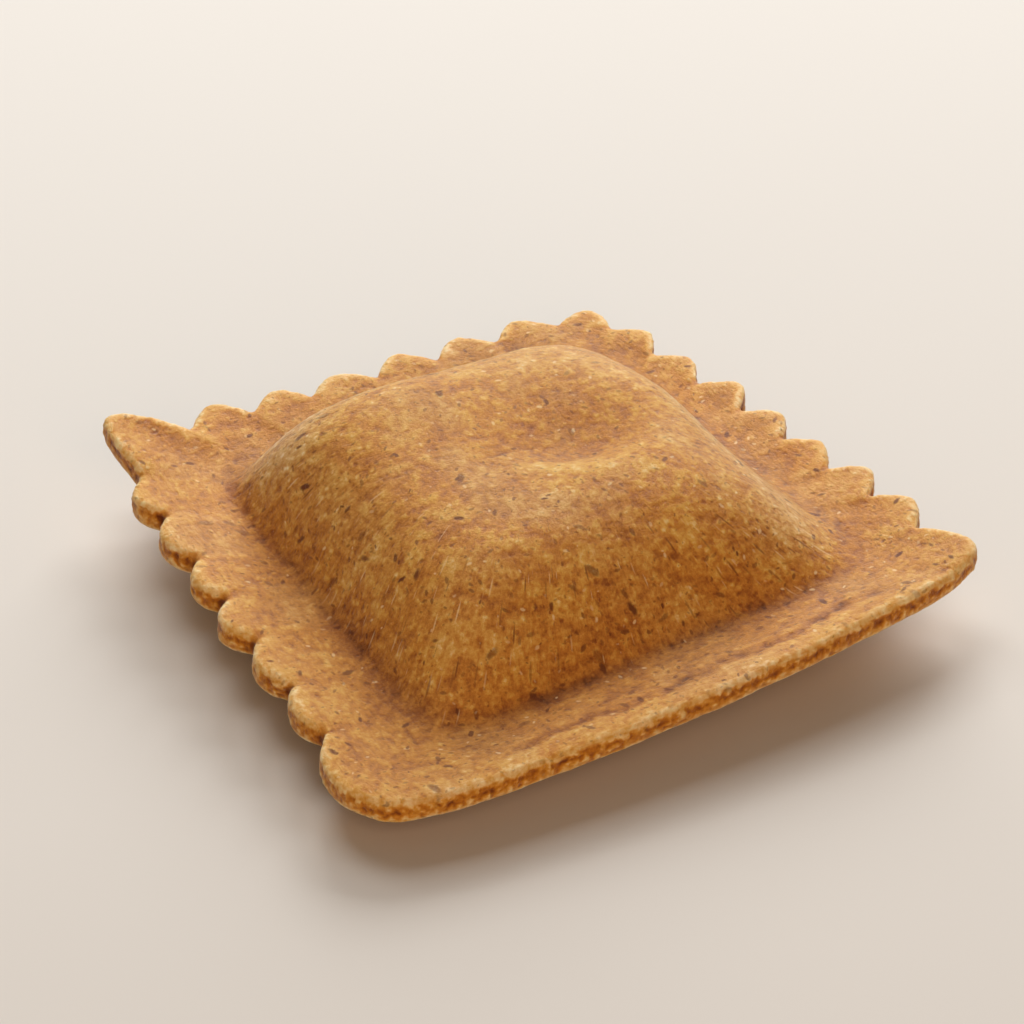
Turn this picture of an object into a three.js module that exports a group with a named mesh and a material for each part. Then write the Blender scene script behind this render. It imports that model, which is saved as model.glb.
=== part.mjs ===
// A raviolo: one plump square of whole-grain filled pasta, resting flat.
// Two rolled sheets of dough lie over a mound of filling, are pressed together all
// round it and cut out, three sides with a fluted wheel and the front side with a
// plain blade. It is modelled as one closed skin of rings: rings of the cut edge,
// of the pressed border, and of the filled middle, on top and underneath.
// Millimetres, +Z up. The plain cut side faces -Y.
import * as THREE from "three";

// Driving sizes.
const CUT_HALF = 23.0; // from the middle to the line of the flutes' notches
const FILL = { x: 0.3, y: -1.6, half: 17.9 }; // middle of the filled mound, and from there to its foot
const SHEET = 1.05; // one rolled sheet of dough
const BORDER = 2 * SHEET; // the pressed border: both sheets
const BORDER_RISE = 0.8; // how far the border bends up from the mound's foot to its edge
const MOUND = 8.2; // the filling's top above its foot
const BELLY = 2.8; // how far the filling pushes the lower sheet below the border
const EDGE_RADIUS = 0.6; // rounding of the cut edge, above and below
const TAPER = 0.0043; // share of width lost per mm towards the back

// The filled mound.
const FOOT_FLARE = 1.5; // power that curves the foot out into the border
const FOOT_SQUARE = 9; // power of its outline at the foot: nearly square, with tight corners
const TOP_ROUND = 3.4; // and near its top: nearly round
const BELLY_FALL = 2.6;
const BELLY_FILLET = 0.9; // rounding of the creases around the belly
const BELLY_PRESSED = 1.7; // how much of the belly the table has flattened

// The shallow hollow where the dough has sunk on top, the lip in front of it, and the
// shoulders where the filling bulges to the right and to the back left.
const HOLLOW = { x: 2.8, y: -3.0, wide: 6.6, deep: 4.2, depth: 1.5 };
const LIP = { x: 2.6, y: -7.4, wide: 6.6, thick: 1.6, curl: 0.035, height: 0.42 };
const SHOULDERS = [
  { x: 13.6, y: 0.5, wide: 4.5, deep: 6.0, height: 1.2 },
  { x: -6.5, y: 8.5, wide: 6.5, deep: 4.5, height: 0.6 },
];

// Each side runs anticlockwise from its corner: how many flutes, how much each is wider
// than the one before, how far the whole side bows out, the power of a flute's arch
// (higher is blunter) and where its tip lies between its notches, and, at the side's
// start and end, how deep the flutes are and how far outside the square of CUT_HALF
// they were cut.
const SIDES = [
  // The front is plain, then come the right, the back and the left.
  { flutes: 5, growth: 1, bow: 1.8, blunt: 2.5, tip: 0.5, depth: [0.1, 0.1], margin: [1.8, 0.8] },
  { flutes: 7, growth: 0.99, bow: 0.3, blunt: 1.45, tip: 0.57, depth: [2.2, 2.2], margin: [-1.5, -1.3] },
  { flutes: 6, growth: 1, bow: 0, blunt: 1.6, tip: 0.5, depth: [1.9, 1.9], margin: [-2.0, -1.8] },
  { flutes: 6, growth: 1.03, bow: 0.2, blunt: 2.2, tip: 0.45, depth: [1.9, 1.4], margin: [0.1, 0.5] },
];
// Each corner is the first of its side: how much of the side before and of its own
// side it takes up, where its square tip would lie, as a distance past the corner of
// the square, how square the tip is (2 is a quarter circle), how far its start bulges
// out like a flute, how high the border lies there as a whole, how far the tip alone
// curls up, the power of the mound's profile towards it (higher is flatter on top and
// steeper at the foot), and how far the mound reaches towards it, as a share of FILL.half.
const CORNERS = [
  { before: 8.4, after: 4.0, past: [-2.3, -0.8], square: 4.2, bulge: 1.2,
    lift: -1.0, curl: 0, fall: 5.0, reach: 1.0 },
  { before: 3.0, after: 5.4, past: [1.5, 0.5], square: 4.0, bulge: 0,
    lift: 1.0, curl: 0.3, fall: 3.3, reach: 0.98 },
  { before: 4.6, after: 4.6, past: [0.4, 0.0], square: 3.0, bulge: 0,
    lift: -1.8, curl: 0, fall: 2.9, reach: 1.05 },
  { before: 6.2, after: 5.4, past: [-1.6, 3.6], square: 4.0, bulge: 0,
    lift: 1.0, curl: 0.9, fall: 8.5, reach: 1.0 },
];
const STEPS = 8; // straight pieces in each flute
const CORNER_STEPS = 12; // and in each corner
const BULGE_SHARE = 0.48; // share of a corner that its bulge takes up
const FLUTE_WANDER = 0.3; // how far notches stray along the side
const FLUTE_UNEVEN = 0.18; // share by which the flutes' depths differ
const FLUTE_PUFF = 0.32; // how far a flute's middle swells above its notches
const PUFF_REACH = 3.0; // how far in from the edge that is felt

// Ring positions. The border's are shares of the way in from its rounded edge to the
// mound's foot, and the filled middle's are shares of the way from the centre to the foot.
const BORDER_RINGS_TOP = [0.2, 0.42, 0.68];
const BORDER_RINGS_UNDER = [0.3, 0.65];
const TOP_RINGS_FINE = [1.0, 0.975, 0.95];
const TOP_RINGS_MIDDLE = [0.92, 0.875, 0.82, 0.75, 0.67, 0.58];
const TOP_RINGS_COARSE = [0.49, 0.39, 0.28, 0.16];
const UNDER_RINGS_FINE = [1.0];
const UNDER_RINGS_MIDDLE = [0.94, 0.87, 0.79, 0.71];
const UNDER_RINGS_COARSE = [0.55, 0.28];

const lerp = THREE.MathUtils.lerp;
const smoothstep = THREE.MathUtils.smoothstep;

// The larger of two heights, with the crease between them rounded over `blend`.
function smoothMax(a, b, blend) {
  const near = Math.max(blend - Math.abs(a - b), 0) / blend;
  return Math.max(a, b) + (near * near * blend) / 4;
}

// A bump from 0 to 1 and back to 0 as u goes from 0 to 1, highest where u is tip.
function arch(u, blunt, tip = 0.5) {
  return 1 - Math.pow(Math.abs(u - tip) / (u < tip ? tip : 1 - tip), blunt);
}

// An even wander between -1 and 1 for a numbered notch or flute.
function wander(number) {
  return Math.sin(number * 12.9898 + 4.1) * Math.cos(number * 4.373);
}

// The corner where side `index` starts, and the unit vectors along and out of it.
function cutLine(index) {
  const turn = (index * Math.PI) / 2;
  const along = new THREE.Vector2(Math.cos(turn), Math.sin(turn)).round();
  const out = new THREE.Vector2(along.y, -along.x);
  const start = along.clone().multiplyScalar(-CUT_HALF).addScaledVector(out, CUT_HALF);
  return { start, along, out };
}

// A point on side `index`, `distance` from its corner, with the side's margin and bow.
function onSide(index, distance) {
  const { start, along, out } = cutLine(index);
  const { bow, margin } = SIDES[index];
  const share = distance / (2 * CUT_HALF);
  const off = lerp(...margin, share) + bow * 4 * share * (1 - share);
  return start.clone().addScaledVector(along, distance).addScaledVector(out, off);
}

// A point on the rounded corner from one point to another by way of a square tip.
function onCorner(from, tip, to, square, u) {
  const ease = square / 2;
  const share = Math.pow(u, ease) / (Math.pow(u, ease) + Math.pow(1 - u, ease));
  const near = Math.pow(Math.cos((share * Math.PI) / 2), 2 / square);
  const far = Math.pow(Math.sin((share * Math.PI) / 2), 2 / square);
  return from.clone().add(to).sub(tip)
    .addScaledVector(tip.clone().sub(to), near)
    .addScaledVector(tip.clone().sub(from), far);
}

// The distances of one side's notches from its corner.
function notches(index) {
  const { flutes, growth } = SIDES[index];
  const from = CORNERS[index].after;
  const to = 2 * CUT_HALF - CORNERS[(index + 1) % 4].before;
  const widths = Array.from({ length: flutes }, (_, i) => Math.pow(growth, i));
  const total = widths.reduce((sum, w) => sum + w, 0);
  const places = [from];
  widths.forEach((w, i) => {
    const stray = i < flutes - 1 ? FLUTE_WANDER * wander(index * 10 + i) : 0;
    const even = from + ((to - from) * widths.slice(0, i + 1).reduce((s, v) => s + v, 0)) / total;
    places.push(even + stray);
  });
  return places;
}

// The cut outline as a list of { place, puff, curl, corner }, one flute after another.
function cutOutline() {
  const samples = [];
  for (let side = 0; side < 4; side++) {
    const { start, out } = cutLine(side);
    const corner = CORNERS[side];
    const from = onSide((side + 3) % 4, 2 * CUT_HALF - corner.before);
    const to = onSide(side, corner.after);
    const tip = start.clone().add(new THREE.Vector2(...corner.past));
    for (let step = 0; step < CORNER_STEPS; step++) {
      const u = step / CORNER_STEPS;
      const rise = arch(u, 2.4);
      const place = onCorner(from, tip, to, corner.square, u);
      const bulge = corner.bulge * Math.max(arch(u / BULGE_SHARE, 2.2, 0.4), 0);
      place.addScaledVector(cutLine((side + 3) % 4).out, bulge);
      samples.push({ place, puff: rise * 0.6, curl: corner.curl * rise });
    }
    const places = notches(side);
    const flutes = places.length - 1;
    for (let flute = 0; flute < flutes; flute++) {
      const depth = lerp(...SIDES[side].depth, flute / (flutes - 1));
      const uneven = 1 + FLUTE_UNEVEN * wander(side * 7 + flute + 50);
      for (let step = 0; step < STEPS; step++) {
        const u = step / STEPS;
        const rise = arch(u, SIDES[side].blunt, SIDES[side].tip);
        const place = onSide(side, lerp(places[flute], places[flute + 1], u));
        place.addScaledVector(out, depth * uneven * rise);
        const puff = depth > 1 ? rise : 0.5;
        samples.push({ place, puff, curl: 0 });
      }
    }
  }
  return samples;
}

// The point `share` of the way from the mound's middle to its foot, on the way to
// `place`: the rings are square at the foot and rounder towards the top.
function ringPlace(place, share) {
  const power = lerp(TOP_ROUND, FOOT_SQUARE, Math.pow(Math.min(share, 1), 3));
  const middle = new THREE.Vector2(FILL.x, FILL.y);
  const way = place.clone().sub(middle).normalize();
  const spread = Math.pow(Math.abs(way.x), power) + Math.pow(Math.abs(way.y), power);
  const reach = FILL.half * fromCorners("reach", place);
  return middle.addScaledVector(way, (reach * share) / Math.pow(spread, 1 / power));
}

// What the four corners' values of `key` come to at `p`.
function fromCorners(key, p) {
  const [frontLeft, frontRight, backRight, backLeft] = CORNERS.map((corner) => corner[key]);
  const across = 0.5 + p.x / (2 * CUT_HALF);
  const back = 0.5 + p.y / (2 * CUT_HALF);
  return lerp(lerp(frontLeft, frontRight, across), lerp(backLeft, backRight, across), back);
}

// The soft border lifts at two corners and droops at two, more the further out it is.
function warpAt(p) {
  const out = Math.max(Math.abs(p.x), Math.abs(p.y)) / CUT_HALF;
  return fromCorners("lift", p) * smoothstep(out, 0.45, 0.9);
}

// A soft round bump of height 1 where `spot` says.
function bumpAt(p, spot) {
  const x = (p.x - spot.x) / spot.wide;
  const y = (p.y - spot.y) / spot.deep;
  return Math.exp(-x * x - y * y);
}

function lipAt(p) {
  const x = (p.x - LIP.x) / LIP.wide;
  const bend = LIP.y + LIP.curl * (p.x - LIP.x) ** 2;
  const y = (p.y - bend) / LIP.thick;
  return LIP.height * Math.exp(-x * x - y * y);
}

// Height of the top skin over a ring `share` of the way to the foot.
function topHeight(p, share) {
  const drop = Math.pow(share, fromCorners("fall", p));
  const mound = MOUND * Math.pow(Math.max(1 - drop, 0), FOOT_FLARE);
  const hollow = HOLLOW.depth * bumpAt(p, HOLLOW);
  const shoulders = SHOULDERS.reduce((sum, spot) => sum + spot.height * bumpAt(p, spot), 0);
  const relief = (lipAt(p) + shoulders - hollow) * smoothstep(1 - share, 0, 0.3);
  return BORDER / 2 + warpAt(p) + mound + relief;
}

// Height of the lower skin: a belly, pressed flat where it rests.
function underHeight(p, share) {
  const full = (BELLY + BELLY_PRESSED) * (1 - Math.pow(share, BELLY_FALL));
  const belly = smoothMax(0, -smoothMax(-full, -BELLY, BELLY_FILLET), BELLY_FILLET);
  return -BORDER / 2 + warpAt(p) - Math.min(belly, BELLY);
}

// The quarter-round from the skin over to the cut wall: how far in, and how far down.
const EDGE = [
  { round: EDGE_RADIUS, drop: 0, share: 0 },
  { round: 0.29 * EDGE_RADIUS, drop: 0.29 * EDGE_RADIUS, share: 0 },
  { round: 0, drop: EDGE_RADIUS, share: 0 },
];

// Where the skin lies in space: the narrower back and the origin's height go in here.
function inSpace(p, height) {
  return new THREE.Vector3(p.x * (1 - TAPER * p.y), p.y, height);
}

// One ring of the border, on the top (+1) or underneath (-1): `round` in from the cut
// edge, and then `share` of the way from there to the mound's foot.
function borderRing(outline, { round, drop, share }, face) {
  return outline.map(({ place, puff, curl }) => {
    const foot = ringPlace(place, 1);
    const width = place.distanceTo(foot);
    const inset = lerp(round, width, share);
    const p = place.clone().lerp(foot, inset / width);
    const felt = Math.max(1 - inset / PUFF_REACH, 0);
    const swell = FLUTE_PUFF * (puff - 0.5) * felt * (face > 0 ? 1 : 0.4);
    const outward = Math.max(1 - inset / width, 0);
    const lift = BORDER_RISE * smoothstep(outward, 0, 1) + curl * outward ** 1.5;
    const height = face * (BORDER / 2 - drop + swell) + warpAt(p) + lift;
    return inSpace(p, height);
  });
}

// One ring of the filled middle, on every `stride`-th sample of the outline.
function fillRing(outline, share, stride, heightAt) {
  return outline
    .filter((_, i) => i % stride === 0)
    .map(({ place }) => {
      const p = ringPlace(place, share);
      return inSpace(p, heightAt(p, share));
    });
}

// Every ring from the middle of the top, out over the cut edge, to the middle underneath.
function allRings(outline) {
  const top = (shares, stride) => shares.map((s) => fillRing(outline, s, stride, topHeight));
  const under = (shares, stride) => shares.map((s) => fillRing(outline, s, stride, underHeight));
  const border = (share) => ({ round: EDGE_RADIUS, drop: 0, share });
  return [
    ...top([...TOP_RINGS_COARSE].reverse(), 4),
    ...top([...TOP_RINGS_MIDDLE].reverse(), 2),
    ...top([...TOP_RINGS_FINE].reverse(), 1),
    ...[...BORDER_RINGS_TOP].reverse().map((share) => borderRing(outline, border(share), 1)),
    ...EDGE.map((edge) => borderRing(outline, edge, 1)),
    ...[...EDGE].reverse().map((edge) => borderRing(outline, edge, -1)),
    ...BORDER_RINGS_UNDER.map((share) => borderRing(outline, border(share), -1)),
    ...under(UNDER_RINGS_FINE, 1),
    ...under(UNDER_RINGS_MIDDLE, 2),
    ...under(UNDER_RINGS_COARSE, 4),
  ];
}

// Joins rings into one closed skin, with a point at each end. Neighbouring rings have
// the same number of points, or one has twice as many as the other.
function skin(rings, first, last) {
  const points = [first];
  const starts = rings.map((ring) => points.push(...ring) - ring.length);
  points.push(last);
  const faces = [];
  const at = (ring, i) => starts[ring] + (i % rings[ring].length);
  for (let i = 0; i < rings[0].length; i++) faces.push(0, at(0, i), at(0, i + 1));
  for (let r = 0; r + 1 < rings.length; r++) {
    const inner = rings[r].length;
    const outer = rings[r + 1].length;
    for (let i = 0; i < Math.min(inner, outer); i++) {
      if (inner === outer) {
        faces.push(at(r, i), at(r + 1, i), at(r + 1, i + 1));
        faces.push(at(r, i), at(r + 1, i + 1), at(r, i + 1));
      } else if (outer > inner) {
        faces.push(at(r, i), at(r + 1, 2 * i), at(r + 1, 2 * i + 1));
        faces.push(at(r, i), at(r + 1, 2 * i + 1), at(r, i + 1));
        faces.push(at(r, i + 1), at(r + 1, 2 * i + 1), at(r + 1, 2 * i + 2));
      } else {
        faces.push(at(r + 1, i), at(r, 2 * i + 1), at(r, 2 * i));
        faces.push(at(r + 1, i), at(r + 1, i + 1), at(r, 2 * i + 1));
        faces.push(at(r + 1, i + 1), at(r, 2 * i + 2), at(r, 2 * i + 1));
      }
    }
  }
  const end = rings.length - 1;
  for (let i = 0; i < rings[end].length; i++) faces.push(points.length - 1, at(end, i + 1), at(end, i));
  return new THREE.BufferGeometry().setFromPoints(points).setIndex(faces);
}

// The raviolo's skin, moved so that it rests on Z = 0 over the middle of its outline.
function ravioloGeometry() {
  const centre = new THREE.Vector2(FILL.x, FILL.y);
  const crown = inSpace(centre, topHeight(centre, 0));
  const base = inSpace(centre, underHeight(centre, 0));
  const geometry = skin(allRings(cutOutline()), crown, base);
  geometry.computeBoundingBox();
  const { min, max } = geometry.boundingBox;
  geometry.translate(-(min.x + max.x) / 2, -(min.y + max.y) / 2, -min.z);
  geometry.computeVertexNormals();
  return geometry;
}

const wholeGrainDough = new THREE.MeshStandardMaterial({
  color: 0xc79150,
  roughness: 0.68,
  metalness: 0,
});

const raviolo = new THREE.Mesh(ravioloGeometry(), wholeGrainDough);
raviolo.name = "raviolo";

const part = new THREE.Group();
part.name = "filled_pasta";
part.add(raviolo);

export default part;
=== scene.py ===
# %% [markdown]
# # A whole-grain raviolo
# A raviolo is two sheets of dough pressed together round a mound of filling. This
# lesson starts from the plain solid of it and adds what the eye looks for in real
# dough: a grainy skin, a torn-looking cut edge, flecks of bran, and soft light.

import math

import bpy
import numpy as np
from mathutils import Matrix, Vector, kdtree


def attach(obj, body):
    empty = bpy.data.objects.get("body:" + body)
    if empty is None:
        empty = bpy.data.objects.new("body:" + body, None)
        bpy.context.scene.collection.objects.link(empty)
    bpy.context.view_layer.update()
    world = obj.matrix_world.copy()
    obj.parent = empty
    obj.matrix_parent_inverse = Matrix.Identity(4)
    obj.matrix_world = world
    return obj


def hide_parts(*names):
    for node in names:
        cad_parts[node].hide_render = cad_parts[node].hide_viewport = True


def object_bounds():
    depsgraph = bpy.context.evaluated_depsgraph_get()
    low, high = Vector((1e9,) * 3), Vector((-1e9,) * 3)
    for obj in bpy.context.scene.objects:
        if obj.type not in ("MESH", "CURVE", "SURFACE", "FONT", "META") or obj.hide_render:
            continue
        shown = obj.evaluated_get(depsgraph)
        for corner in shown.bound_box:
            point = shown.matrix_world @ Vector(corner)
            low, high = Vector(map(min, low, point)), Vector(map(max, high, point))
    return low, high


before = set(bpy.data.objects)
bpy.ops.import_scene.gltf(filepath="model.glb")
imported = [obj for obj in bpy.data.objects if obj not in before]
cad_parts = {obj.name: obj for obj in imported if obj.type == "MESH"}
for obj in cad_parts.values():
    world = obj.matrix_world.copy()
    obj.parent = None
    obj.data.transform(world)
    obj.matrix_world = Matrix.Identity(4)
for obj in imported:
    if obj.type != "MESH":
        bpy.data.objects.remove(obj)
solid_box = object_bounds()
MM = 0.001
middle = (solid_box[0] + solid_box[1]) / 2
size = solid_box[1] - solid_box[0]
print("solid", [round(v / MM, 1) for v in size], "mm")

# %% [markdown]
# ## The dough
# The solid already has the right outline, mound and flutes, but it is made of ten
# thousand flat triangles. Modelling it again from a cube would only lose that
# shape, so a copy of it is merged into one skin, smoothed with a subdivision surface
# and then remeshed into even squares a fifth of a millimetre wide. Even squares
# matter because the grain that comes later is pushed out of them.


# %% Small helpers for operators
def only(piece):
    """Makes one piece the active one and selects nothing else."""
    for other in bpy.context.selected_objects:
        other.select_set(False)
    piece.select_set(True)
    bpy.context.view_layer.objects.active = piece


def finished(piece, kind, name, **settings):
    """Adds a modifier, sets it up, applies it, and says how big the mesh is."""
    modifier = piece.modifiers.new(name, kind)
    for key, value in settings.items():
        setattr(modifier, key, value)
    only(piece)
    bpy.ops.object.modifier_apply(modifier=modifier.name)
    print(name, "->", len(piece.data.polygons), "faces")


# %% Copy the solid and merge its triangles
bpy.ops.object.select_all(action="DESELECT")
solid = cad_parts["raviolo"]
dough = bpy.data.objects.new("raviolo_dough", solid.data.copy())
bpy.context.scene.collection.objects.link(dough)
dough.data.materials.clear()
only(dough)
bpy.ops.object.mode_set(mode="EDIT")
bpy.ops.mesh.select_all(action="SELECT")
bpy.ops.mesh.remove_doubles(threshold=0.004 * MM)
bpy.ops.mesh.tris_convert_to_quads()
bpy.ops.object.mode_set(mode="OBJECT")
print("merged skin", len(dough.data.vertices), "points")

# %% Smooth it and remesh it evenly
SQUARE = 0.22 * MM
finished(dough, "SUBSURF", "rounded skin", levels=1, render_levels=1)
finished(dough, "REMESH", "even squares", mode="VOXEL", voxel_size=SQUARE)
finished(dough, "SMOOTH", "ironed skin", factor=0.5, iterations=4)

# %% [markdown]
# ## Where the dough is what
# The cut wall, the pressed border and the mound look different, so the mesh is told
# which points belong to which. Each is a number from 0 to 1 kept on every point: a
# vertex group that a modifier can read, and an attribute that a material can read.
# They are worked out from the mesh itself, from the direction that the skin faces
# and from how hollow or swollen it is.


# %% Read the points, and mark the cut wall
def read(piece, what, width):
    """Reads a row of numbers for each point of the mesh."""
    values = np.empty(len(piece.data.vertices) * width)
    piece.data.vertices.foreach_get(what, values)
    return values.reshape(-1, width)


def ramp(values, low, high):
    """Goes smoothly from 0 at the low value to 1 at the high one."""
    t = np.clip((values - low) / (high - low), 0, 1)
    return t * t * (3 - 2 * t)


pairs = np.empty(len(dough.data.edges) * 2, dtype=np.int64)
dough.data.edges.foreach_get("vertices", pairs)
pairs = pairs.reshape(-1, 2)
neighbours = np.bincount(pairs.ravel(), minlength=len(dough.data.vertices))[:, None]


def spread(vectors, times):
    """Averages each point's vector with its neighbours', several times over."""
    for _ in range(times):
        total = np.zeros_like(vectors)
        for a, b in ((0, 1), (1, 0)):
            for axis in range(3):
                shares = vectors[pairs[:, b], axis]
                total[:, axis] += np.bincount(pairs[:, a], shares, len(vectors))
        vectors = 0.5 * vectors + 0.5 * total / neighbours
    return vectors


SOFTLY = 6
points = read(dough, "co", 3) / MM
facing = read(dough, "normal", 3)
flat_normal = spread(facing, SOFTLY)
steep = 1 - np.abs(flat_normal[:, 2]) / np.linalg.norm(flat_normal, axis=1)
print("points", len(points), "steepest", round(float(steep.max()), 2))

# %% A helper that keeps a mark on the mesh
def marked(piece, name, values):
    """Keeps numbers from 0 to 1 as a vertex group and as an attribute."""
    group = piece.vertex_groups.get(name) or piece.vertex_groups.new(name=name)
    for index in np.flatnonzero(values > 0.01):
        group.add([int(index)], float(values[index]), "REPLACE")
    label = "on_" + name
    layer = piece.data.attributes.get(label)
    layer = layer or piece.data.attributes.new(label, "FLOAT", "POINT")
    layer.data.foreach_set("value", values.astype(np.float32))
    print(name, "covers", round(100 * float(values.mean()), 1), "percent of the points")


# %% Mark the mound, the border and the cut wall
# How far a point reaches is 0 in the middle of the mound and 1 at its foot. The mound
# is a square with rounded corners that narrows a little towards the back.
FILL_MIDDLE = (1.28, -0.69)
FILL_HALF = 17.9
NARROWING = 0.0043
SIDE = 46
SQUARENESS = 9
FRONT_CORNER, BACK_CORNER = -0.02, 0.05
x, y = points[:, 0] - FILL_MIDDLE[0], points[:, 1] - FILL_MIDDLE[1]
x = x / (1 - NARROWING * y)
right, back = 0.5 + x / SIDE, 0.5 + y / SIDE
fuller = 1 + FRONT_CORNER * right * (1 - back) + BACK_CORNER * right * back
reach = (np.abs(x) ** SQUARENESS + np.abs(y) ** SQUARENESS) ** (1 / SQUARENESS)
reach = reach / (FILL_HALF * fuller)
cut = ramp(steep, 0.35, 0.75) * ramp(reach, 1.04, 1.10)
top = ramp(flat_normal[:, 2], -0.2, 0.2)
mound = (1 - ramp(reach, 0.93, 1.02)) * top
border = ramp(reach, 0.96, 1.04) * (1 - cut) * top
# The foot is coloured darker further on: painted shade in the crease round the mound.
foot = np.exp(-(((reach - 0.985) / 0.055) ** 2)) * top
flank = mound * ramp(reach, 0.35, 0.75)
for name, values in (("cut", cut), ("mound", mound), ("border", border),
                     ("foot", foot), ("flank", flank)):
    marked(dough, name, values)

# %% Keep the lie of the dough
# Its first two numbers say where a point is on the way round, its third how far out.
way_round = np.maximum(reach, 0.05)
lie = np.stack([x / way_round, y / way_round, reach * FILL_HALF], axis=1) * MM
layer = dough.data.attributes.new("lie", "FLOAT_VECTOR", "POINT")
layer.data.foreach_set("vector", lie.astype(np.float32).ravel())
print("the dough reaches out to", round(float(reach.max()), 2), "times the mound")

# %% [markdown]
# ### Notches and the groove behind each
# The fluted wheel bites a notch between every two flutes and creases the dough for a
# few millimetres behind it. The notches are found on the mesh: they are the places
# where the cut wall is most hollow. The creases then follow from them, each as a
# narrow valley that runs inwards from its notch and fades.

# %% Find the notches
NOTCH_GAP = 2.6
NOTCH_SPREAD = 24
LEAST_HOLLOW = 0.02
hollow = ((spread(points, NOTCH_SPREAD) - points) * flat_normal).sum(axis=1)
hollow = np.where(cut > 0.6, hollow, 0)
notches = []
for index in np.argsort(-hollow):
    if hollow[index] < LEAST_HOLLOW:
        break
    spot = points[index, :2]
    if all(np.hypot(*(spot - other)) > NOTCH_GAP for other in notches):
        notches.append(spot)
print(len(notches), "notches")

# %% Mark the groove behind each notch
grooves = np.zeros(len(points))
for spot in notches:
    away = points[:, :2] - spot
    near = (np.hypot(away[:, 0], away[:, 1]) < NOTCH_GAP) & (cut > 0.5)
    outward = flat_normal[near, :2].mean(axis=0)
    outward = outward / np.hypot(*outward)
    inward = -(away @ outward)
    across = away @ np.array((-outward[1], outward[0]))
    width = 0.35 + 0.16 * np.clip(inward, 0, 4)
    valley = np.exp(-((across / width) ** 2))
    valley *= ramp(inward, -0.8, 0.0) * (1 - ramp(inward, 0.4, 3.0))
    grooves = np.maximum(grooves, valley)
marked(dough, "grooves", grooves * top)

# %% Measure how far each point lies from the rim
def tree_of(indices):
    """Plants a search tree of points, looked at from above."""
    planted = kdtree.KDTree(len(indices))
    for index in indices:
        planted.insert((*points[index, :2], 0), int(index))
    planted.balance()
    return planted


FAR = 9.0
rim = tree_of(np.flatnonzero(cut > 0.5))
from_rim = np.full(len(points), FAR)
for index in np.flatnonzero((border > 0.05) & (cut < 0.5)):
    from_rim[index] = rim.find((*points[index, :2], 0))[2]
marked(dough, "rim", np.exp(-((from_rim / 0.8) ** 2)) * top * (1 - cut))

# %% Mark the furrow along the straight cut
# Beside the plain cut a wavy line has been pressed into the border. Between that line
# and the mound, and round the mound's near left corner, the border gets painted shade:
# it is coloured darker and greyer there.
x, y = points[:, 0], points[:, 1]
in_front = ramp(-y, 15, 18)
line = 2.5 + 0.25 * np.sin(0.55 * x) + 0.12 * np.sin(1.7 * x + 1)
furrow = np.exp(-(((from_rim - line) / 0.50) ** 2)) * in_front
furrow *= ramp(x, -16, -12) * (1 - ramp(x, 17, 21))
# The furrow is also coloured darker further on: painted shade in its groove.
marked(dough, "furrow", furrow * top)
# Painted shade on the border in front of the mound and beside its near left corner.
shaded_border = in_front * ramp(from_rim, 2.2, 3.2) * ramp(x, -19, -14)
shaded_border *= ramp(reach, 0.96, 1.0) * (1 - ramp(x, 15, 20))
beside = np.exp(-(((reach - 1.03) / 0.10) ** 2)) * ramp(-x, 12, 15)
beside *= ramp(y, -20, -16) * (1 - ramp(y, -6, 4))
marked(dough, "shaded_border", np.maximum(shaded_border, beside) * top)

# %% Mark the torn line under the rim
# The wheel presses the top of the edge over, and the dough tears open just below it.
rim_top = tree_of(np.flatnonzero((from_rim < 0.5) & (cut < 0.5)))
below = np.zeros(len(points))
for index in np.flatnonzero(cut > 0.3):
    above = rim_top.find((*points[index, :2], 0))[1]
    below[index] = points[above, 2] - points[index, 2]
marked(dough, "tear", np.exp(-(((below - 0.6) / 0.26) ** 2)) * cut)

# %% Mark the lip round the hollow
# The dough has sunk on top of the mound, and stands up a little round the front and the
# left of where it sank.
HOLLOW_AT = (4.8, -0.6)
HOLLOW_WIDER = 1.2
x = (points[:, 0] - HOLLOW_AT[0]) / HOLLOW_WIDER
y = points[:, 1] - HOLLOW_AT[1]
lip = np.exp(-(((np.hypot(x, y) - 5.0) / 1.3) ** 2)) * mound
lip *= np.exp(-((np.arctan2(-y, x) - 2.1) ** 2))
# The lip is also coloured paler further on, partly as flour and partly as a painted
# highlight.
marked(dough, "lip", lip)

# %% Mark the pale shoulders
# Where the mound turns over to the right and to the back, and less so on the left, it is
# coloured paler and greyer: a painted highlight where the lamp behind skims it. Towards
# the far corner a wider painted highlight is laid too.
TO_FAR_CORNER = (0.53, 0.85)
x, y = points[:, 0] - FILL_MIDDLE[0], points[:, 1] - FILL_MIDDLE[1]
on_right = ramp(x, 7, 13) * ramp(y, -18, -10)
on_left = 0.35 * ramp(-x, 7, 12) * ramp(y, -8, 0)
turning = np.maximum.reduce([on_right, ramp(y, 7, 13), on_left])
far_highlight = 0.45 * ramp(TO_FAR_CORNER[0] * x + TO_FAR_CORNER[1] * y, 5, 11)
skimmed_highlight = np.exp(-(((reach - 0.80) / 0.13) ** 2)) * turning
marked(dough, "shoulder", np.maximum(skimmed_highlight, far_highlight) * mound)

# %% [markdown]
# ## Relief
# Dough is never smooth. The mound has soft swells, the skin has a fine grain from the
# coarse flour, and the cut wall is torn and pitted where the wheel dragged through
# it. Each is a Displace modifier with its own procedural texture and its own share of
# the mesh, so that the shape is real and shows in the outline too.


# %% A helper that pushes the skin by a texture
def pushed(piece, name, kind, scale, depth, where="", middle_level=0.5, **settings):
    """Pushes the skin out by a texture, by a depth in millimetres."""
    texture = bpy.data.textures.new(name, kind)
    texture.noise_scale = scale
    for key, value in settings.items():
        setattr(texture, key, value)
    options = {"texture": texture, "strength": depth * MM, "mid_level": middle_level}
    options["texture_coords"] = "LOCAL"
    if where:
        options["vertex_group"] = where
    finished(piece, "DISPLACE", name, **options)


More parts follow.
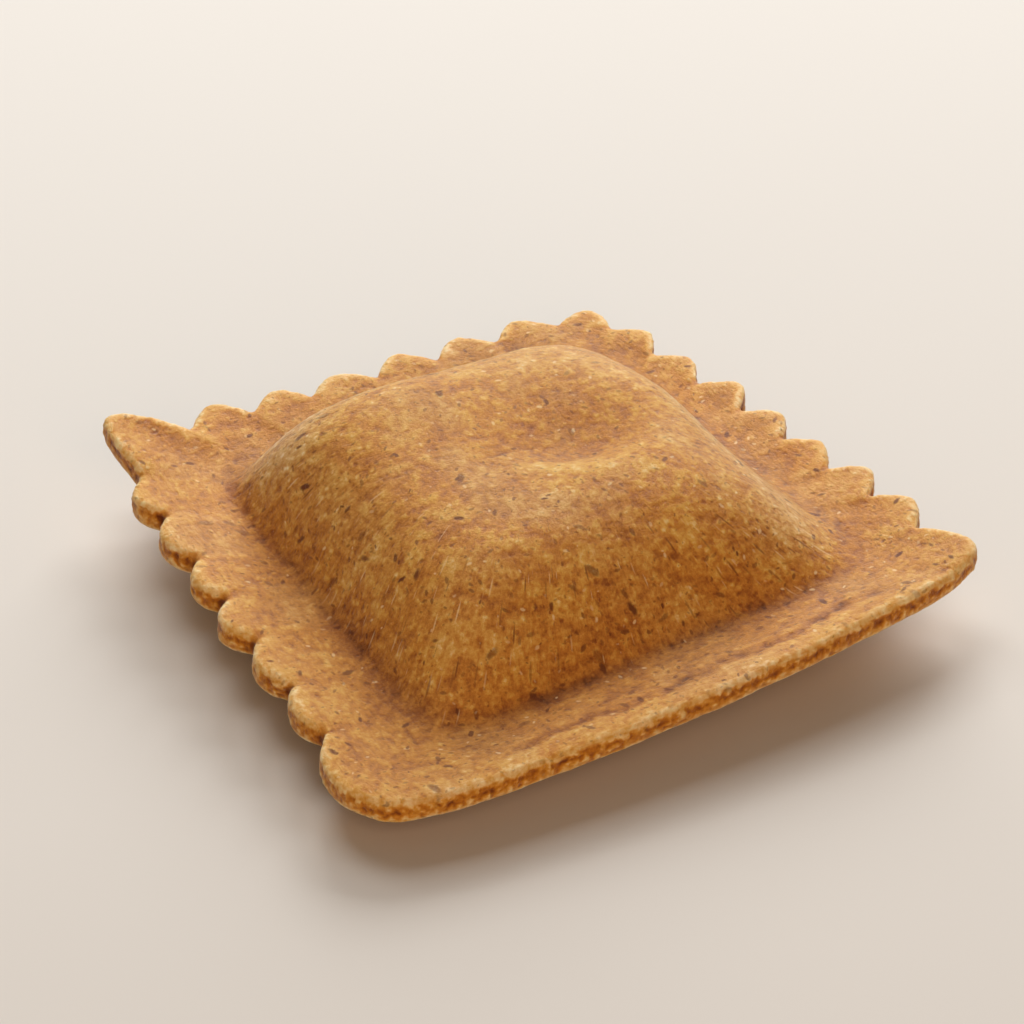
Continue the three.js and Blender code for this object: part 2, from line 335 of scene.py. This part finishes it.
# %% Creases, swells, grain and torn edges
pushed(dough, "soft swells", "CLOUDS", 8 * MM, 0.34, "mound", noise_depth=1)
pushed(dough, "dimples", "CLOUDS", 2.6 * MM, 0.10, noise_depth=1)
pushed(dough, "lip of the hollow", "CLOUDS", 3.0 * MM, 0.30, "lip", -0.4)
pushed(dough, "notch grooves", "CLOUDS", 1.2 * MM, -0.13, "grooves", -0.25)
pushed(dough, "pressed furrow", "CLOUDS", 1.4 * MM, -0.34, "furrow", 0.15)
pushed(dough, "coarse flour", "CLOUDS", 1.0 * MM, 0.075, noise_depth=2)
pushed(dough, "fine flour", "CLOUDS", 0.45 * MM, 0.045, noise_depth=1)
pushed(dough, "torn cut", "CLOUDS", 1.1 * MM, 0.24, "cut", noise_depth=2)
pushed(dough, "crumbs", "CLOUDS", 0.75 * MM, 0.18, "cut", noise_type="HARD_NOISE")
pushed(dough, "tear under the rim", "CLOUDS", 1.6 * MM, -0.16, "tear", 0.25)
pushed(dough, "cut pits", "VORONOI", 0.7 * MM, -0.07, "cut", 0.35)
pushed(dough, "crumbly rim", "CLOUDS", 0.7 * MM, 0.14, "rim", noise_depth=1)

# %% [markdown]
# ### Crests and creases
# Crests are coloured paler, partly as flour rubbed onto them and partly as a painted
# highlight, and creases and pits darker, as painted shade. How far a point stands above
# the average of its surroundings tells which it is. It is measured over a third of a
# millimetre for the grain, over half a millimetre for the edges of the cut, and over more
# than a millimetre for the folds.

# %% Measure crests, edges and creases
# Each mark: its name, how many times the skin is averaged, and the height in
# millimetres that counts as all the way up.
HEIGHTS = (("crests", 4, 0.08), ("edges", 14, 0.16), ("ridges", 60, 0.5))
points = read(dough, "co", 3) / MM
facing = read(dough, "normal", 3)
soft_facing = spread(facing, SOFTLY)
for name, times, height in HEIGHTS:
    direction = facing if times < SOFTLY else soft_facing
    above = ((points - spread(points, times)) * direction).sum(axis=1)
    print(name, "stand", round(float(np.percentile(above, 95)), 3), "mm above")
    marked(dough, name, np.clip(0.5 + above / height, 0, 1))

# %% Thin out the underside
# The face that lies on the table needs less detail, so many of its squares are merged.
MOST_TRIANGLES = 196000
marked(dough, "underside", 1 - ramp(soft_facing[:, 2], -0.75, -0.35))
kept_share = min(1, MOST_TRIANGLES / (2 * len(dough.data.polygons)))
finished(dough, "DECIMATE", "thinner underside", ratio=kept_share,
         vertex_group="underside", vertex_group_factor=1.0)
only(dough)
bpy.ops.object.shade_smooth()

# %% [markdown]
# ## What the dough is made of
# Whole-grain dough is a warm tan paste full of small things: dark flecks of bran, pale
# grits, and fibres that the rolling drew out. These are patterns that more than one
# finish can use, so each is a node group with its own inputs.


# %% A helper that starts a node group
def node_group(name, inputs, outputs):
    """Starts a node group with named, typed sockets."""
    group = bpy.data.node_groups.new(name, "ShaderNodeTree")
    for direction, sockets in (("INPUT", inputs), ("OUTPUT", outputs)):
        for label, kind, value in sockets:
            socket = group.interface.new_socket(
                name=label, in_out=direction, socket_type="NodeSocket" + kind
            )
            if value is not None and direction == "INPUT":
                socket.default_value = value
    start = group.nodes.new("NodeGroupInput")
    end = group.nodes.new("NodeGroupOutput")
    return group, start, end


def math_node(tree, operation, a, b=None, c=None):
    """Adds a Math node. Its inputs are plain numbers or other nodes' outputs."""
    node = tree.nodes.new("ShaderNodeMath")
    node.operation = operation
    for socket, value in zip(node.inputs, (a, b, c)):
        if value is None:
            continue
        if isinstance(value, (int, float)):
            socket.default_value = value
        else:
            tree.links.new(value, socket)
    return node.outputs[0]


def noise(tree, vector, scale, detail=2.0, roughness=0.5, distortion=0.0):
    """Adds a Noise texture, scaled by a number or by another node's output."""
    node = tree.nodes.new("ShaderNodeTexNoise")
    node.inputs["Detail"].default_value = detail
    node.inputs["Roughness"].default_value = roughness
    node.inputs["Distortion"].default_value = distortion
    tree.links.new(vector, node.inputs["Vector"])
    if isinstance(scale, (int, float)):
        node.inputs["Scale"].default_value = scale
    else:
        tree.links.new(scale, node.inputs["Scale"])
    return node.outputs["Fac"]


def between(tree, value, low, high, out_low=0.0, out_high=1.0):
    """Goes smoothly from one number to another as a value goes from low to high."""
    node = tree.nodes.new("ShaderNodeMapRange")
    node.interpolation_type = "SMOOTHSTEP"
    tree.links.new(value, node.inputs["Value"])
    for label, number in zip(
        ("From Min", "From Max", "To Min", "To Max"), (low, high, out_low, out_high)
    ):
        if isinstance(number, (int, float)):
            node.inputs[label].default_value = number
        else:
            tree.links.new(number, node.inputs[label])
    return node.outputs["Result"]


# %% [markdown]
# ### Bran flecks
# A fleck is a small dark splinter, longer than it is wide, lying in the skin. A
# Voronoi texture scatters one point in each of its cells, and the distance to that
# point makes a spot. Only some cells keep theirs. Most of them lie a little above or
# below the skin, so the spots are first pressed flat onto it, or only slivers of them
# would show. Then each is drawn out long in a direction of its own, and is as strong
# as its cell's own number says. Noise makes it ragged, so that no two are alike and
# none is a neat oval.

# %% Build the fleck group
flecks, start, end = node_group(
    "scattered flecks",
    [("Vector", "Vector", None), ("Per metre", "Float", 400.0),
     ("Radius", "Float", 0.12), ("Long", "Float", 2.0), ("Kept", "Float", 0.5),
     ("Bend", "Float", 0.5)],
    [("Mask", "Float", None)],
)


def vector_node(tree, operation, a, b=None, output=0):
    """Adds a Vector Math node. Its second output is the plain number, if it has one."""
    node = tree.nodes.new("ShaderNodeVectorMath")
    node.operation = operation
    for socket, value in zip(node.inputs, (a, b)):
        if isinstance(value, tuple):
            socket.default_value = value
        elif value is not None:
            tree.links.new(value, socket)
    return node.outputs[output]


def scaled(tree, vector, factor):
    """Makes a vector longer or shorter by a factor."""
    node = tree.nodes.new("ShaderNodeVectorMath")
    node.operation = "SCALE"
    tree.links.new(vector, node.inputs[0])
    tree.links.new(factor, node.inputs["Scale"])
    return node.outputs[0]


# Each cell's own colour, multiplied many times over and cut back to its fraction, gives
# its fleck a direction that has nothing to do with whether it is kept.
HALVES = (0.5, 0.5, 0.5)
MANY_TIMES = (37.0, 53.0, 71.0)
PRESSED = -0.75
tree = flecks
per_metre = start.outputs["Per metre"]
wobble = noise(tree, start.outputs["Vector"], 3200, 2.0, 0.6).node.outputs["Color"]
wobble = vector_node(tree, "SUBTRACT", wobble, HALVES)
bend_metres = math_node(tree, "DIVIDE", start.outputs["Bend"], per_metre)
bending = scaled(tree, wobble, bend_metres)
bent = vector_node(tree, "ADD", start.outputs["Vector"], bending)
cells = tree.nodes.new("ShaderNodeTexVoronoi")
tree.links.new(bent, cells.inputs["Vector"])
tree.links.new(per_metre, cells.inputs["Scale"])
own = tree.nodes.new("ShaderNodeSeparateColor")
tree.links.new(cells.outputs["Color"], own.inputs[0])
from_heart = vector_node(tree, "SUBTRACT", bent, cells.outputs["Position"])
from_heart = scaled(tree, from_heart, per_metre)
across_skin = tree.nodes.new("ShaderNodeNewGeometry").outputs["Normal"]
off_skin = vector_node(tree, "DOT_PRODUCT", from_heart, across_skin, output=1)
pressing = scaled(tree, across_skin, math_node(tree, "MULTIPLY", off_skin, PRESSED))
from_heart = vector_node(tree, "ADD", from_heart, pressing)
own_way = vector_node(tree, "MULTIPLY", cells.outputs["Color"], MANY_TIMES)
own_way = vector_node(tree, "FRACTION", own_way)
own_way = vector_node(tree, "SUBTRACT", own_way, HALVES)
along = vector_node(tree, "CROSS_PRODUCT", across_skin, own_way)
along = vector_node(tree, "NORMALIZE", along)
how_far_along = vector_node(tree, "DOT_PRODUCT", from_heart, along, output=1)
shortening = math_node(tree, "DIVIDE", 1.0, start.outputs["Long"])
shortening = math_node(tree, "SUBTRACT", shortening, 1.0)
shortened = scaled(tree, along, math_node(tree, "MULTIPLY", how_far_along, shortening))
drawn = vector_node(tree, "ADD", from_heart, shortened)
distance = vector_node(tree, "LENGTH", drawn, output=1)
kept = math_node(tree, "LESS_THAN", own.outputs[0], start.outputs["Kept"])
own_size = between(tree, own.outputs[1], 0.0, 1.0, 0.55, 1.25)
radius = math_node(tree, "MULTIPLY", start.outputs["Radius"], own_size)
solid_core = math_node(tree, "MULTIPLY", radius, 0.5)
spot = between(tree, distance, solid_core, radius, 1.0, 0.0)
spot = math_node(tree, "MULTIPLY", spot, kept)
strength = between(tree, own.outputs[2], 0.0, 1.0, 0.5, 1.0)
tree.links.new(math_node(tree, "MULTIPLY", spot, strength), end.inputs["Mask"])
print(flecks.name, len(tree.nodes), "nodes")

# %% [markdown]
# ### Grain
# Flour has grains of every size, from dust to husks of half a millimetre. A noise with
# many octaves, each nearly as strong as the one before, looks like that. A plain
# noise of one size looks like cork.

# %% Build the grain group
grain, start, end = node_group(
    "flour grain",
    [("Vector", "Vector", None), ("Per metre", "Float", 700.0),
     ("Rough", "Float", 0.75)],
    [("Grain", "Float", None)],
)
tree = grain
octaves = noise(tree, start.outputs["Vector"], start.outputs["Per metre"], 6.0)
tree.links.new(start.outputs["Rough"], octaves.node.inputs["Roughness"])
tree.links.new(octaves, end.inputs["Grain"])
print(grain.name, len(tree.nodes), "nodes")

# %% [markdown]
# ### Grains
# Among the dust lie single grains, some paler and some darker than the paste. Voronoi
# cells give each grain its own place and its own shade: the shade shows in the middle
# of its cell and fades towards the next.

# %% Build the grains group
grains, start, end = node_group(
    "single grains",
    [("Vector", "Vector", None), ("Per metre", "Float", 2300.0),
     ("Bend", "Float", 0.3)],
    [("Shade", "Float", None)],
)
tree = grains
wobble = noise(tree, start.outputs["Vector"], 2600).node.outputs["Color"]
per_metre = start.outputs["Per metre"]
bend_metres = math_node(tree, "DIVIDE", start.outputs["Bend"], per_metre)
shift = scaled(tree, wobble, bend_metres)
shifted = vector_node(tree, "ADD", start.outputs["Vector"], shift)
cells = tree.nodes.new("ShaderNodeTexVoronoi")
tree.links.new(shifted, cells.inputs["Vector"])
tree.links.new(per_metre, cells.inputs["Scale"])
parts = tree.nodes.new("ShaderNodeSeparateColor")
tree.links.new(cells.outputs["Color"], parts.inputs[0])
heart = between(tree, cells.outputs["Distance"], 0.55, 0.15)
own_shade = math_node(tree, "SUBTRACT", parts.outputs[0], 0.5)
fading = math_node(tree, "MULTIPLY_ADD", own_shade, heart, 0.5)
tree.links.new(fading, end.inputs["Shade"])
print(grains.name, len(tree.nodes), "nodes")

# %% [markdown]
# ### Drawn streaks
# Where the sheet was stretched down over the filling, its fibres were drawn out and
# lie down the slope, and in the border the rolling laid them along the edge. Both are
# the same noise, squeezed one way and pulled the other. It is read on the lie of the
# dough, which turns with the sides of the raviolo and so has no seam at its corners.

# %% Build the streak group
streaks, start, end = node_group(
    "drawn streaks",
    [("Vector", "Vector", None), ("Around", "Float", 50.0),
     ("Outwards", "Float", 18.0)],
    [("Streaks", "Float", None)],
)
tree = streaks
squeeze = tree.nodes.new("ShaderNodeCombineXYZ")
tree.links.new(start.outputs["Around"], squeeze.inputs["X"])
tree.links.new(start.outputs["Around"], squeeze.inputs["Y"])
tree.links.new(start.outputs["Outwards"], squeeze.inputs["Z"])
squeezed = vector_node(tree, "MULTIPLY", start.outputs["Vector"], squeeze.outputs[0])
drawn_out = noise(tree, squeezed, 1.0, 3.0, 0.65, 0.5)
tree.links.new(drawn_out, end.inputs["Streaks"])
print(streaks.name, len(tree.nodes), "nodes")

# %% [markdown]
# ### The dough itself
# The colour is built up in layers, from the paste's own tan through the golden cut wall
# to the flecks on top. Dough is dull, with a dusting of flour that catches light at
# the rim of things, and light goes a little way into it, which is why its thin edges
# glow. Those last two are the shader's own sheen and subsurface settings.

# %% Build the dough material
dough_skin = bpy.data.materials.new("whole_grain_dough")
dough_skin.use_nodes = True
tree = dough_skin.node_tree
shader = tree.nodes["Principled BSDF"]
place = tree.nodes.new("ShaderNodeTexCoord").outputs["Object"]


def stretched(tree, vector, stretch):
    """Stretches what is read on a vector, an axis at a time."""
    node = tree.nodes.new("ShaderNodeMapping")
    node.inputs["Scale"].default_value = stretch
    tree.links.new(vector, node.inputs["Vector"])
    return node.outputs[0]


def use(tree, group, vector, **values):
    """Places a node group and gives its inputs their values."""
    node = tree.nodes.new("ShaderNodeGroup")
    node.node_tree = group
    tree.links.new(vector, node.inputs["Vector"])
    for key, value in values.items():
        node.inputs[key.replace("_", " ")].default_value = value
    return node.outputs


def attribute(tree, name, output="Fac"):
    """Reads what is kept on the mesh under a name."""
    node = tree.nodes.new("ShaderNodeAttribute")
    node.attribute_name = name
    return node.outputs[output]


def layered(tree, base, colour, mask):
    """Lays a colour over another where the mask is 1."""
    node = tree.nodes.new("ShaderNodeMix")
    node.data_type = "RGBA"
    under, over, mixed = node.inputs[6], node.inputs[7], node.outputs[2]
    tree.links.new(base, under)
    if isinstance(colour, tuple):
        over.default_value = (*colour, 1)
    else:
        tree.links.new(colour, over)
    tree.links.new(mask, node.inputs["Factor"])
    return mixed


def blended(tree, a, b, share):
    """Mixes two numbers: all a where the share is 0, all b where it is 1."""
    node = tree.nodes.new("ShaderNodeMix")
    tree.links.new(a, node.inputs["A"])
    tree.links.new(b, node.inputs["B"])
    tree.links.new(share, node.inputs["Factor"])
    return node.outputs["Result"]


def swayed(tree, tone, value, weight):
    """Moves a tone up or down by how far a value lies from its middle, 0.5."""
    sway = math_node(tree, "MULTIPLY_ADD", value, weight, -0.5 * weight)
    return math_node(tree, "ADD", sway, tone or 0.5)


def coloured(tree, tone, stops):
    """Turns a tone into a colour by a ramp of stops."""
    node = tree.nodes.new("ShaderNodeValToRGB")
    ramp_stops = node.color_ramp.elements
    while len(ramp_stops) < len(stops):
        ramp_stops.new(0.5)
    for stop, (place_on_ramp, colour) in zip(ramp_stops, stops):
        stop.position = place_on_ramp
        stop.color = (*colour, 1)
    tree.links.new(tone, node.inputs["Fac"])
    return node.outputs["Color"]


# %% The colours of the dough, from its pits to its crests
PASTE = (
    (0.0, (0.14, 0.036, 0.003)), (0.25, (0.36, 0.115, 0.016)),
    (0.5, (0.58, 0.242, 0.034)), (0.72, (0.73, 0.412, 0.078)),
    (1.0, (0.91, 0.720, 0.370)),
)
GREY_PASTE = (
    (0.0, (0.14, 0.048, 0.013)), (0.25, (0.35, 0.142, 0.031)),
    (0.5, (0.56, 0.264, 0.060)), (0.72, (0.71, 0.425, 0.150)),
    (1.0, (0.91, 0.760, 0.520)),
)
CUT_PASTE = (
    (0.0, (0.17, 0.036, 0.002)), (0.25, (0.34, 0.094, 0.004)),
    (0.5, (0.54, 0.185, 0.009)), (0.72, (0.70, 0.325, 0.044)),
    (1.0, (0.90, 0.650, 0.280)),
)
BRAN = (0.150, 0.040, 0.009)
HUSK = (0.210, 0.070, 0.014)
GRIT = (0.88, 0.66, 0.36)

# %% Work out the tone of every spot
lie_at = attribute(tree, "lie", "Vector")
mottle = use(tree, grain, place, Per_metre=1150.0, Rough=0.75)["Grain"]
down_slope = use(tree, streaks, lie_at, Around=3000.0, Outwards=1300.0)["Streaks"]
along_edge = use(tree, streaks, lie_at, Around=1200.0, Outwards=2900.0)["Streaks"]
down_the_flank = math_node(tree, "MULTIPLY", attribute(tree, "on_flank"), 0.24)
along_the_border = math_node(tree, "MULTIPLY", attribute(tree, "on_border"), 0.36)
skin = blended(tree, mottle, down_slope, down_the_flank)
skin = blended(tree, skin, along_edge, along_the_border)
for per_metre, weight in ((2000.0, 0.22), (3900.0, 0.09)):
    shade = use(tree, grains, place, Per_metre=per_metre, Bend=0.3)["Shade"]
    skin = swayed(tree, skin, shade, weight)
crests = attribute(tree, "on_crests")
blotches = noise(tree, place, 330.0, 2.0, 0.7)
tone = swayed(tree, None, skin, 1.35)
drawn_out = math_node(tree, "SUBTRACT", skin, 0.5)
drawn_out = math_node(tree, "MULTIPLY", drawn_out, down_the_flank)
tone = math_node(tree, "MULTIPLY_ADD", drawn_out, 1.7, tone)
tone = swayed(tree, tone, blotches, 0.48)
# Painted highlight and shade: crests and ridges go paler, pits and creases darker.
tone = swayed(tree, tone, crests, 0.30)
tone = swayed(tree, tone, attribute(tree, "on_ridges"), 0.38)

# %% Darken and pale the marked places
# Each mark: the tone that it goes to, where 0.5 leaves the tone as it is. The foot, the
# furrow and the shaded border go darker as painted shade. The lip goes paler, partly as
# flour and partly as a painted highlight, and the shoulders paler as a painted highlight.
MARKED_TONES = (
    ("on_foot", 0.45), ("on_lip", 0.62), ("on_furrow", 0.37), ("on_shaded_border", 0.44),
    ("on_shoulder", 0.58),
)
for name, level in MARKED_TONES:
    there = between(tree, attribute(tree, name), 0.0, 1.0, 0.5, level)
    tone = swayed(tree, tone, there, 1.0)

# %% Colour the skin
# Grey patches lie all over the dough but hardly on its flanks, which stay golden, partly
# as bare dough and partly as painted warm light bounced onto them. Some marks are grey by
# a share of their own: the shaded border as painted shade, the shoulders as a painted
# highlight.
GREY_SHARES = (("on_shaded_border", 0.4), ("on_border", 0.3), ("on_shoulder", 1.0))
patches = noise(tree, place, 150.0, 2.0, 0.5)
greyness = between(tree, patches, 0.42, 0.66, 0.0, 0.8)
golden = between(tree, attribute(tree, "on_flank"), 0.0, 1.0, 1.0, 0.25)
greyness = math_node(tree, "MULTIPLY", greyness, golden)
for name, share in GREY_SHARES:
    there = math_node(tree, "MULTIPLY", attribute(tree, name), share)
    greyness = math_node(tree, "MAXIMUM", greyness, there)
tan = coloured(tree, tone, PASTE)
grey = coloured(tree, tone, GREY_PASTE)
colour = layered(tree, tan, grey, greyness)

# %% Colour the cut wall and its rim
torn = swayed(tree, None, skin, 1.2)
# Painted highlight and shade: the cut's crests and edges go paler, its pits darker.
torn = swayed(tree, torn, crests, 0.40)
torn = swayed(tree, torn, attribute(tree, "on_edges"), 0.42)
# Painted shade: the torn groove under the rim is coloured darker.
shaded_tear = between(tree, attribute(tree, "on_tear"), 0.0, 1.0, 0.5, 0.41)
torn = swayed(tree, torn, shaded_tear, 1.0)
on_rim = math_node(tree, "MULTIPLY", attribute(tree, "on_rim"), 0.6)
on_edge = math_node(tree, "MAXIMUM", attribute(tree, "on_cut"), on_rim)
colour = layered(tree, colour, coloured(tree, torn, CUT_PASTE), on_edge)

# %% Scatter the flecks and the grits
# Each layer: how many cells a metre, how big its specks are in them, how long, how many
# are kept, how bent they are, their colour and their strength. The rim and the cut wall
# show fewer of them.
SPECKS = (
    (1000, 0.13, 1.8, 0.20, 0.16, GRIT, 0.75),
    (2100, 0.20, 1.8, 0.28, 0.22, HUSK, 0.55),
    (1300, 0.18, 2.0, 0.26, 0.20, HUSK, 0.80),
    (850, 0.17, 2.1, 0.17, 0.16, BRAN, 0.90),
    (520, 0.155, 2.2, 0.17, 0.15, BRAN, 1.00),
)
off_edge = between(tree, on_edge, 0.0, 1.0, 1.0, 0.35)
for per_metre, radius, long, kept, bend, speck, strength in SPECKS:
    there = use(tree, flecks, place, Per_metre=per_metre, Radius=radius, Long=long,
                Kept=kept, Bend=bend)["Mask"]
    there = math_node(tree, "MULTIPLY", there, off_edge)
    colour = layered(tree, colour, speck, math_node(tree, "MULTIPLY", there, strength))

# %% Lay splinters down the slopes
# The same specks, read on the lie of the dough and pulled outwards into short fibres.
OUTWARDS = (1.0, 1.0, 0.3)
pulled_out = stretched(tree, lie_at, OUTWARDS)
for per_metre, speck, strength in ((1500, GRIT, 0.60), (1300, HUSK, 0.75)):
    there = use(tree, flecks, pulled_out, Per_metre=per_metre, Radius=0.15, Long=1.0,
                Kept=0.5, Bend=0.15)["Mask"]
    there = math_node(tree, "MULTIPLY", there, attribute(tree, "on_flank"))
    colour = layered(tree, colour, speck, math_node(tree, "MULTIPLY", there, strength))
tree.links.new(colour, shader.inputs["Base Color"])
print("colour layers done,", len(tree.nodes), "nodes")

# %% Give the dough its surface
bump = tree.nodes.new("ShaderNodeBump")
bump.inputs["Distance"].default_value = 0.30 * MM
bump.inputs["Strength"].default_value = 0.8
tree.links.new(skin, bump.inputs["Height"])
tree.links.new(bump.outputs[0], shader.inputs["Normal"])
tree.links.new(between(tree, skin, 0.3, 0.7, 0.50, 0.66), shader.inputs["Roughness"])
for label, value in (
    ("Specular IOR Level", 0.18),
    ("Sheen Weight", 0.45),
    ("Sheen Roughness", 0.26),
    ("Sheen Tint", (1.0, 0.97, 0.93, 1)),
    ("Subsurface Weight", 0.15),
    ("Subsurface Radius", (1.0, 0.5, 0.25)),
    ("Subsurface Scale", 0.9 * MM),
):
    shader.inputs[label].default_value = value
dough.data.materials.append(dough_skin)
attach(dough, "root")
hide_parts("raviolo")

# %% [markdown]
# ## Floor, light and camera
# The raviolo lies on a plain pale floor. Most of the light comes from one big soft
# lamp low behind it on the right, as from a window across a table. It skims the mound,
# so the crest and the right rim turn pale and the near flanks stay darker. A soft lamp
# above shows the shape of the top, and a weak warm fill from the near left keeps those
# flanks from going black.

# %% Make the floor
bpy.ops.mesh.primitive_plane_add(size=4, location=(0, 0, solid_box[0].z))
floor = bpy.context.object
floor.name = "floor"
paper = bpy.data.materials.new("pale_floor")
paper.use_nodes = True
matt = paper.node_tree.nodes["Principled BSDF"]
matt.inputs["Base Color"].default_value = (0.70, 0.675, 0.63, 1)
matt.inputs["Roughness"].default_value = 0.9
floor.data.materials.append(paper)


# %% Hang the lights
def soft_light(name, place, size, power, colour=(1, 1, 1)):
    """Hangs a square lamp in metres and watts, and turns it to the raviolo."""
    bpy.ops.object.light_add(type="AREA", location=place)
    light = bpy.context.object
    light.name = name
    light.data.size = size
    light.data.energy = power
    light.data.color = colour
    light.rotation_mode = "QUATERNION"
    light.rotation_quaternion = (Vector(place) - middle).to_track_quat("Z", "Y")


soft_light("sky", (0.05, 0.25, 0.40), 0.30, 1.0)
soft_light("window", (0.37, 0.42, 0.29), 0.35, 4.5)
soft_light("fill", (-0.22, -0.50, 0.28), 0.5, 1.75, (1.0, 0.67, 0.44))
world = bpy.data.worlds.new("studio")
bpy.context.scene.world = world
world.use_nodes = True
air = world.node_tree.nodes["Background"]
air.inputs["Color"].default_value = (1.0, 0.90, 0.78, 1)
air.inputs["Strength"].default_value = 0.09
bpy.context.scene.view_settings.view_transform = "Standard"

# %% Place the camera
AZIMUTH, ELEVATION = math.radians(-32), math.radians(35.5)
DISTANCE = 0.62
back = Vector((
    math.sin(AZIMUTH) * math.cos(ELEVATION),
    -math.cos(AZIMUTH) * math.cos(ELEVATION),
    math.sin(ELEVATION),
))
aim = middle + Vector((0, 0, -0.2 * MM))
bpy.ops.object.camera_add(location=aim + back * DISTANCE)
camera = bpy.context.object
camera.rotation_mode = "QUATERNION"
camera.rotation_quaternion = back.to_track_quat("Z", "Y")
camera.data.sensor_width = 36
camera.data.lens = 300
camera.data.clip_start, camera.data.clip_end = 0.01, 10
bpy.context.scene.camera = camera
